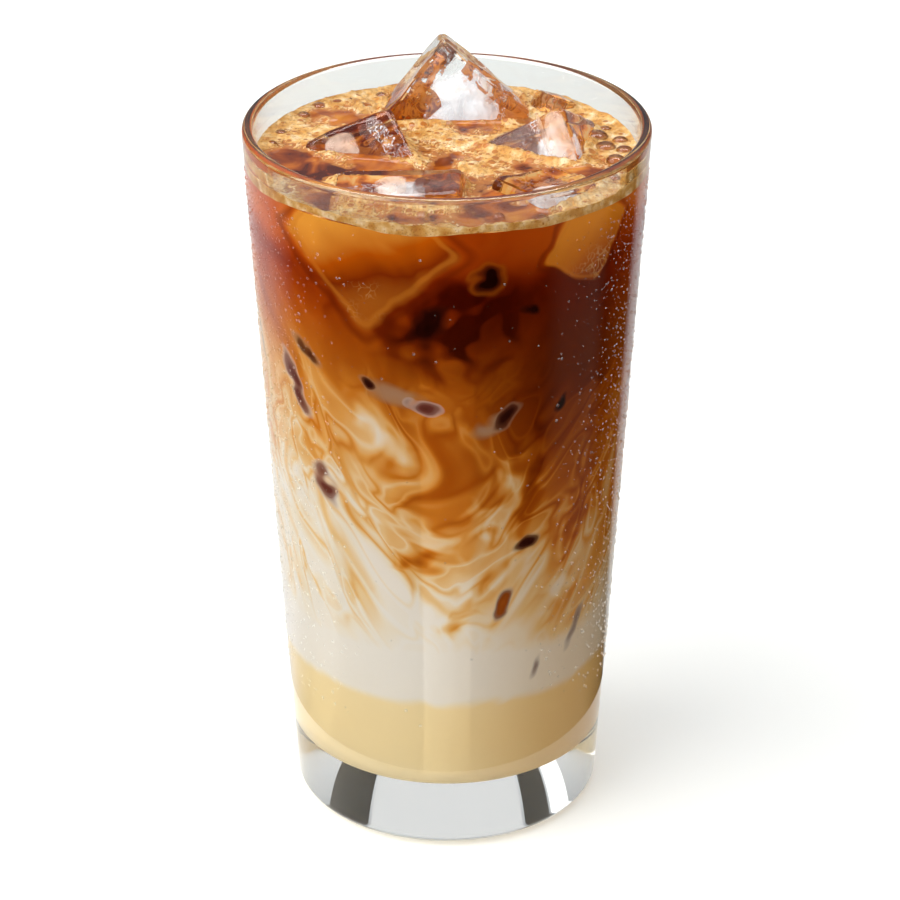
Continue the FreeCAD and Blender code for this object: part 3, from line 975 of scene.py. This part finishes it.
# ------------------------------------------------------------------ crema
# The golden foam of the coffee floats on it in lacy patches, climbs the wall and the ice a
# little, and leaves bare, glossy coffee between. One fine skin carries the foam's height.
CREMA_LEVEL = 0.1470
CREMA_GRID = 262
CREMA_REACH = 0.00022
SKIRT_ROWS = 6
SKIRT_DROP = 0.0011
SKIRT_BEND = 0.0012
WALL_CLIMB = 0.0008
ICE_CLIMB = 0.0007
FOAM_LIFT = 0.00034
FILM_LIFT = 0.00020
FILM_WIDTH = 0.00013
FILM_REACH = 0.0006
BUBBLE_CELL = 0.003
rng = np.random.default_rng(7)
wall_radius = inner_radius(CREMA_LEVEL) + CREMA_REACH


def ice_gap(points):
    """Signed distance from each point to the nearest ice cube, in metres."""
    nearest = np.full(len(points), 1.0)
    for word, size, middle, turn, rounding in ICE_CUBES:
        local = (points - np.array(middle) / MM) @ cube_turn(turn)
        over = np.abs(local) - (np.array(size) / 2 - rounding) / MM
        outside = np.linalg.norm(np.maximum(over, 0), axis=1)
        nearest = np.minimum(nearest, outside + np.minimum(over.max(axis=1), 0) - rounding / MM)
    return nearest


def drift(points, scale, seed, octaves=3):
    """Smooth noise of the given width at each point, from -1 to 1."""
    shift = Vector((seed * 7.1, seed * 3.3, seed))
    places = [Vector((p[0] / scale, p[1] / scale, 0)) + shift for p in points]
    return np.array([noise.fractal(place, 0.6, 2.0, octaves) for place in places])


# Bubbles of all sizes: a few large ones where they gather, and several thousand fine ones.
LARGE_BUBBLES = (
    # x, y, radius in millimetres
    (31.0, 8.5, 2.5), (32.6, 2.6, 2.2), (35.8, 6.4, 1.7), (36.4, 1.0, 1.8), (34.4, -4.2, 2.0),
    (29.6, 13.8, 1.9), (36.6, -9.0, 1.4), (33.0, 13.0, 1.3), (-27.0, 25.5, 1.9), (-23.2, 27.6, 1.6),
    (-30.2, 21.0, 1.4), (18.2, -34.6, 1.7), (-34.5, 11.0, 1.2), (-36.0, 5.0, 1.1), (10.0, -33.5, 1.2),
    (26.0, 24.0, 1.5), (-14.0, 32.5, 1.3), (12.5, 35.4, 1.4), (-31.5, -12.0, 1.5), (33.5, -15.0, 1.3),
)
bubbles = [(x / MM, y / MM, r / MM) for x, y, r in LARGE_BUBBLES]
for radius, tries in ((0.00085, 500), (0.00055, 1500), (0.00034, 5200)):
    angles = rng.uniform(0, 2 * math.pi, tries)
    away = wall_radius * np.sqrt(rng.uniform(0, 1, tries))
    spread = radius * rng.uniform(0.7, 1.3, tries)
    kept = np.array(bubbles)
    for x, y, r in zip(away * np.cos(angles), away * np.sin(angles), spread):
        gaps = np.hypot(kept[:, 0] - x, kept[:, 1] - y) - kept[:, 2] - r
        if gaps.min() > -0.00004 and math.hypot(x, y) + r < wall_radius:
            bubbles.append((x, y, r))
            if len(bubbles) % 12 == 0:
                kept = np.array(bubbles)
bubbles = np.array(bubbles)


BARE_AND_FULL = (
    # x, y, width in millimetres, and how much more foam gathers there: below 0 is bare coffee
    (-28, -8, 7, -1.0), (-33, 14, 6, 0.7), (-24, 20, 5, -0.5), (-22, 28, 7, 0.7), (2, 6, 6, 0.5),
    (14, -31, 6, -0.9), (26, -28, 5, 0.5), (34, 4, 6, 0.9), (30, 20, 6, 0.4), (3, -9, 4, 0.5),
    (-4, -31, 6, 0.3), (-14, 16, 4, -0.3), (7, -10, 4, 0.5), (-26, -26, 6, -0.35), (-13, -12, 4, -1.1),
    (-6, -9.5, 3.4, -1.0), (-19, -10, 3, -0.7), (19, -11.5, 4, -1.0), (26, -10, 3, -0.8),
    (-1, 9.5, 5, 0.9), (-1, 2, 4, -0.25), (9, -33, 5, -1.0), (-31, -3, 5, -0.9), (-22, 19, 4, -0.8),
    (33, 4, 7, 0.7),
)


def foam_at(points):
    """The foam's share and height at each point of the surface."""
    flat = points[:, :2]
    gap_wall = wall_radius - np.hypot(flat[:, 0], flat[:, 1])
    gap_ice = ice_gap(np.column_stack([flat, np.full(len(flat), CREMA_LEVEL)]))
    patch = drift(flat, 0.0095, 3.0, 2) * 1.1 + drift(flat, 0.0036, 8.0, 2) * 0.3 - 0.02
    patch += 0.9 * np.exp(-gap_wall / 0.0016) + 0.36 * np.exp(-gap_wall / 0.0045)
    patch += 0.45 * np.exp(-np.abs(gap_ice) / 0.0013)
    for x, y, wide, amount in BARE_AND_FULL:
        apart = np.hypot(flat[:, 0] - x / MM, (flat[:, 1] - y / MM))
        patch += amount * np.exp(-((apart / (wide / MM)) ** 2))
    film = np.full(len(flat), 1.0)
    size = np.zeros(len(flat))
    home = {}
    for i, (x, y, r) in enumerate(bubbles):
        across, up = (
            range(int((c - r - FILM_REACH) // BUBBLE_CELL), int((c + r + FILM_REACH) // BUBBLE_CELL) + 1)
            for c in (x, y)
        )
        for a in across:
            for b in up:
                home.setdefault((a, b), []).append(i)
    keys = np.floor(flat / BUBBLE_CELL).astype(int)
    order = np.lexsort((keys[:, 1], keys[:, 0]))
    cuts = np.flatnonzero(np.any(np.diff(keys[order], axis=0), axis=1)) + 1
    for group in np.split(order, cuts):
        near = home.get(tuple(keys[group[0]]))
        if not near:
            continue
        these = bubbles[near]
        apart = np.hypot(flat[group, 0, None] - these[:, 0], flat[group, 1, None] - these[:, 1])
        gaps = apart - these[:, 2]
        best = gaps.argmin(axis=1)
        film[group] = gaps[np.arange(len(group)), best]
        size[group] = these[best, 2]
    inside = np.clip(-film / np.maximum(size, 1e-6), 0, 1)
    rim = np.exp(-((film / FILM_WIDTH) ** 2))
    froth = np.clip((patch - 0.15) / 0.45, 0, 1)
    lace = np.clip((patch + 0.30) / 0.45, 0, 1)
    hollow = np.where(size > 0.0007, 0.10, 0.40)
    share = np.maximum(
        froth * np.where(film > 0, 1.0, np.clip(1 - 1.5 * inside, hollow, 1)), lace * rim * 0.9
    )
    share = np.maximum(share, 0.26 * np.clip((patch + 0.45) / 0.4, 0, 1))
    dome = np.where(film < 0, 0.42 * size * np.sqrt(np.clip(1 - (1 - inside) ** 2, 0, 1)), 0)
    height = FOAM_LIFT * froth + FILM_LIFT * rim * lace + dome * lace * (size < 0.0012)
    height += WALL_CLIMB * np.exp(-gap_wall / WALL_CLIMB) * (0.75 + 0.5 * drift(flat, 0.006, 5.0, 2))
    height += ICE_CLIMB * np.exp(-np.clip(gap_ice, 0, 1) / ICE_CLIMB)
    return share, height


# A square grid bent into a disc, with rings that stay even out to the wall.
line = np.linspace(-1, 1, CREMA_GRID + 1)
grid_x, grid_y = np.meshgrid(line, line, indexing="ij")
wider = np.abs(grid_x) >= np.abs(grid_y)
big = np.where(wider, grid_x, grid_y)
small = np.where(wider, grid_y, grid_x)
slope = np.divide(small, big, out=np.zeros_like(big), where=np.abs(big) > 1e-9) * math.pi / 4
disc_x = np.where(wider, big * np.cos(slope), big * np.sin(slope)) * wall_radius
disc_y = np.where(wider, big * np.sin(slope), big * np.cos(slope)) * wall_radius
flat = np.column_stack([disc_x.ravel(), disc_y.ravel()])
share, height = foam_at(np.column_stack([flat, np.zeros(len(flat))]))
points = np.column_stack([flat, CREMA_LEVEL + height]).tolist()
faces = grid_faces(CREMA_GRID)
there, back = range(CREMA_GRID), range(CREMA_GRID, 0, -1)
edge = [(i, 0) for i in there] + [(CREMA_GRID, i) for i in there]
edge += [(i, CREMA_GRID) for i in back] + [(0, i) for i in back]
border = [r * (CREMA_GRID + 1) + c for r, c in edge]
rows = [border]
for k in range(1, SKIRT_ROWS + 1):
    row = []
    for i in border:
        x, y, z = points[i]
        bend = 1.1 * noise.noise(Vector((x * 48, y * 48, 2.0)))
        bend += 0.12 * noise.noise(Vector((x * 300, y * 300, 5.0)))
        foot = CREMA_LEVEL - SKIRT_DROP + SKIRT_BEND * bend
        here = z + (foot - z) * k / SKIRT_ROWS
        grow = (inner_radius(here) + CREMA_REACH) / math.hypot(x, y)
        row.append(len(points))
        points.append([x * grow, y * grow, here])
    rows.append(row)
for high, low in zip(rows, rows[1:]):
    for k in range(len(border)):
        after = (k + 1) % len(border)
        faces.append((high[k], low[k], low[after], high[after]))
bottom = len(points)
points.append([0, 0, CREMA_LEVEL - 0.0014])
for k in range(len(border)):
    faces.append((rows[-1][k], bottom, rows[-1][(k + 1) % len(border)]))

# Foam is matt and golden, finely pitted; bare coffee is a dark, wet mirror with amber in it.
crema_foam, tree = new_material("crema foam on black coffee")
scaled = in_millimetres(tree)
foam = add(tree, "Attribute", attribute_name="foam").outputs["Fac"]
blotches = add(tree, "TexNoise", {"Vector": scaled, "Scale": 1 / 7.0, "Detail": 3.0, "Distortion": 0.6})
bare = graded(
    add(tree, "ValToRGB", [blotches]),
    [(0.34, "#4E1804"), (0.46, "#80360A"), (0.57, "#AE5A14"), (0.70, "#CC8028")],
)
froth = add(tree, "TexVoronoi", {"Vector": stirred(tree, scaled, 1.2, 0.5), "Scale": 1.9})
pits_seen = add(tree, "MapRange", [froth, 0.1, 0.42], **SMOOTH)
tint = add(tree, "TexNoise", {"Vector": scaled, "Scale": 1 / 2.4, "Detail": 4.0})
golden = graded(
    add(tree, "ValToRGB", [tint]),
    [(0.30, "#C07C30"), (0.44, "#D09646"), (0.56, "#E2B470"), (0.70, "#F4D8AC")],
)
pit_shade = add(tree, "Math", [pits_seen, -0.42, 0.42], operation="MULTIPLY_ADD")
golden = add(tree, "Mix", {0: pit_shade, 6: golden, 7: linear("#9A5212")}, data_type="RGBA").outputs[2]
uneven = add(
    tree, "Math", [add(tree, "Math", [tint, 0.5], operation="SUBTRACT"), 0.32, foam],
    operation="MULTIPLY_ADD",
)
film = add(tree, "MapRange", [uneven, 0.1, 0.24, 0.0, 0.75], **SMOOTH)
cover = add(tree, "MapRange", [uneven, 0.26, 0.56], **SMOOTH)
colour = add(tree, "Mix", {0: film, 6: bare, 7: linear("#BC7636")}, data_type="RGBA").outputs[2]
colour = add(tree, "Mix", {0: cover, 6: colour, 7: golden}, data_type="RGBA").outputs[2]
rough = add(tree, "Math", [cover, 0.34, 0.06], operation="MULTIPLY_ADD")
grain = add(tree, "Math", [pits_seen, cover], operation="MULTIPLY")
bump = add(tree, "Bump", {"Strength": 0.55, "Distance": 0.00022, "Height": grain})
body = add(
    tree, "BsdfPrincipled", {"Base Color": colour, "Roughness": rough, "IOR": 1.34, "Normal": bump}
)
add(tree, "OutputMaterial", [body])

crema = mesh_piece("crema_skin", points, faces, crema_foam, sharp=math.radians(75))
mesh = cut_pits(crema)
verts = np.empty(len(mesh.vertices) * 3)
mesh.vertices.foreach_get("co", verts)
verts = verts.reshape(-1, 3)
share = foam_at(verts)[0]
on_wall = np.hypot(verts[:, 0], verts[:, 1]) > wall_radius - 0.0012
pitted = np.array([noise.noise(Vector((p * 900).tolist())) for p in verts])
share = np.where(on_wall & (pitted > -0.28), np.maximum(share, 0.92), share)
mesh.attributes.new("foam", "FLOAT", "POINT").data.foreach_set("value", share)
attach(crema, "root")
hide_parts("crema")
bpy.data.objects.remove(pit_cutter)


# ------------------------------------------------------------------ bubbles
# The large bubbles are thin domes of liquid film: clear, with a bright edge and a pale glint.
DOME_TURNS = 32
DOME_RINGS = 9
DOME_RISE = 0.62
DOME_FOOT = CREMA_LEVEL + 0.0002
bubble_film, tree = new_material("thin coffee bubble film")
clear = add(tree, "BsdfTransparent", [linear("#F4E6D4")])
gloss = add(tree, "BsdfGlossy", {"Color": linear("#FFFFFF"), "Roughness": 0.03})
edge = add(tree, "LayerWeight", {"Blend": 0.28}).outputs["Fresnel"]
add(tree, "OutputMaterial", [add(tree, "MixShader", [edge, clear, gloss])])
domes = []
for x, y, radius in bubbles[: len(LARGE_BUBBLES)]:
    points, these = [(x, y, DOME_FOOT + DOME_RISE * radius)], []
    for ring_at in range(1, DOME_RINGS + 1):
        lean = math.pi / 2 * ring_at / DOME_RINGS
        for k in range(DOME_TURNS):
            angle = 2 * math.pi * k / DOME_TURNS
            away, rise = radius * math.sin(lean), DOME_RISE * radius * math.cos(lean)
            points.append((x + away * math.cos(angle), y + away * math.sin(angle), DOME_FOOT + rise))
    for k in range(DOME_TURNS):
        after = (k + 1) % DOME_TURNS
        these.append((0, 1 + k, 1 + after))
        for low in range(1, 1 + (DOME_RINGS - 1) * DOME_TURNS, DOME_TURNS):
            these.append((low + k, low + DOME_TURNS + k, low + DOME_TURNS + after, low + after))
    domes.append((points, these))
bubble_domes = mesh_piece("crema_bubbles", *joined_mesh(domes), bubble_film)
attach(bubble_domes, "root")


# ------------------------------------------------------------------ condensation
# Cold glass in warm air: fine beads of water all over the outside, thickest at the sides, with
# a few larger drops. Each bead is a low dome of a few faces, set on the wall by Geometry Nodes.
BEADS_PER_SQUARE_METRE = 1000000.0
BEAD_SMALLEST = 0.00012
BEAD_LARGEST = 0.00042
BEAD_FLATNESS = 0.6
BEAD_SEED = 11
WALL_COLUMNS = 180
WALL_ROWS = 60
BEADS_LOW = 0.030
BEADS_HIGH = 0.1455
DRY_FRONT = 0.42
verts, faces, wetness = [], [], []
for row in range(WALL_ROWS + 1):
    z = BEADS_LOW + (BEADS_HIGH - BEADS_LOW) * row / WALL_ROWS
    radius = outer_radius(z) + 0.00001
    for k in range(WALL_COLUMNS):
        angle = 2 * math.pi * k / WALL_COLUMNS
        x, y = radius * math.cos(angle), radius * math.sin(angle)
        verts.append((x, y, z))
        patchy = 0.5 + 0.5 * noise.noise(Vector((x * 90, y * 90, z * 60)))
        side_on = max(0.0, (abs(math.cos(angle)) - DRY_FRONT) / (1 - DRY_FRONT))
        wet = (0.012 + side_on**1.6) * (0.35 + 0.65 * min(1.0, max(0.0, (z - BEADS_LOW) / 0.03)))
        wetness.append(wet * (0.4 + 0.9 * patchy))
        if row < WALL_ROWS:
            low, after = row * WALL_COLUMNS, (k + 1) % WALL_COLUMNS
            faces.append((low + k, low + after, low + WALL_COLUMNS + after, low + WALL_COLUMNS + k))

water_bead, tree = new_material("condensed water bead")
see_through(tree, "#FFFFFF", 1.33, "#FFFFFF")
beads = mesh_piece("condensation", verts, faces, smooth=False)
beads.data.attributes.new("wetness", "FLOAT", "POINT").data.foreach_set("value", wetness)

scatter = bpy.data.node_groups.new("beads on the wall", "GeometryNodeTree")
scatter.interface.new_socket("Geometry", in_out="INPUT", socket_type="NodeSocketGeometry")
scatter.interface.new_socket("Geometry", in_out="OUTPUT", socket_type="NodeSocketGeometry")
BEAD_INPUTS = {
    "Beads per square metre": BEADS_PER_SQUARE_METRE, "Smallest": BEAD_SMALLEST, "Largest": BEAD_LARGEST,
}
for word in BEAD_INPUTS:
    scatter.interface.new_socket(word, in_out="INPUT", socket_type="NodeSocketFloat")
given = add(scatter, "NodeGroupInput").outputs
wet = add(scatter, "GeometryNodeInputNamedAttribute", {"Name": "wetness"}, data_type="FLOAT")
density = add(
    scatter, "Math", [wet.outputs["Attribute"], given["Beads per square metre"]], operation="MULTIPLY"
)
scattered = add(
    scatter, "GeometryNodeDistributePointsOnFaces",
    {"Mesh": given["Geometry"], "Density": density, "Seed": BEAD_SEED},
)
ball = add(scatter, "GeometryNodeMeshIcoSphere", {"Radius": 1.0, "Subdivisions": 1})
bead = add(scatter, "GeometryNodeTransform", {"Geometry": ball, "Scale": (1, 1, BEAD_FLATNESS)})
chance = add(scatter, "FunctionNodeRandomValue", {"Seed": BEAD_SEED + 1}, data_type="FLOAT")
mostly_small = add(scatter, "Math", [chance.outputs[1], 2.4], operation="POWER")
size = add(
    scatter, "MapRange",
    {"Value": mostly_small, "To Min": given["Smallest"], "To Max": given["Largest"]},
)
placed = add(
    scatter, "GeometryNodeInstanceOnPoints",
    {"Points": scattered, "Instance": bead, "Rotation": scattered.outputs["Rotation"], "Scale": size},
)
real = add(scatter, "GeometryNodeRealizeInstances", {"Geometry": placed})
smooth = add(scatter, "GeometryNodeSetShadeSmooth", {"Geometry": real})
wet_glass = add(scatter, "GeometryNodeSetMaterial", {"Geometry": smooth, "Material": water_bead})
add(scatter, "NodeGroupOutput", [wet_glass])
sprinkle = beads.modifiers.new("beads", "NODES")
sprinkle.node_group = scatter
for item in scatter.interface.items_tree:
    if item.in_out == "INPUT" and item.name in BEAD_INPUTS:
        sprinkle[item.identifier] = BEAD_INPUTS[item.name]
mesh = applied(beads)
if not mesh.materials:
    mesh.materials.append(water_bead)
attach(beads, "root")


for name, layer in layers.items():
    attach(layer, "root")
    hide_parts(name)
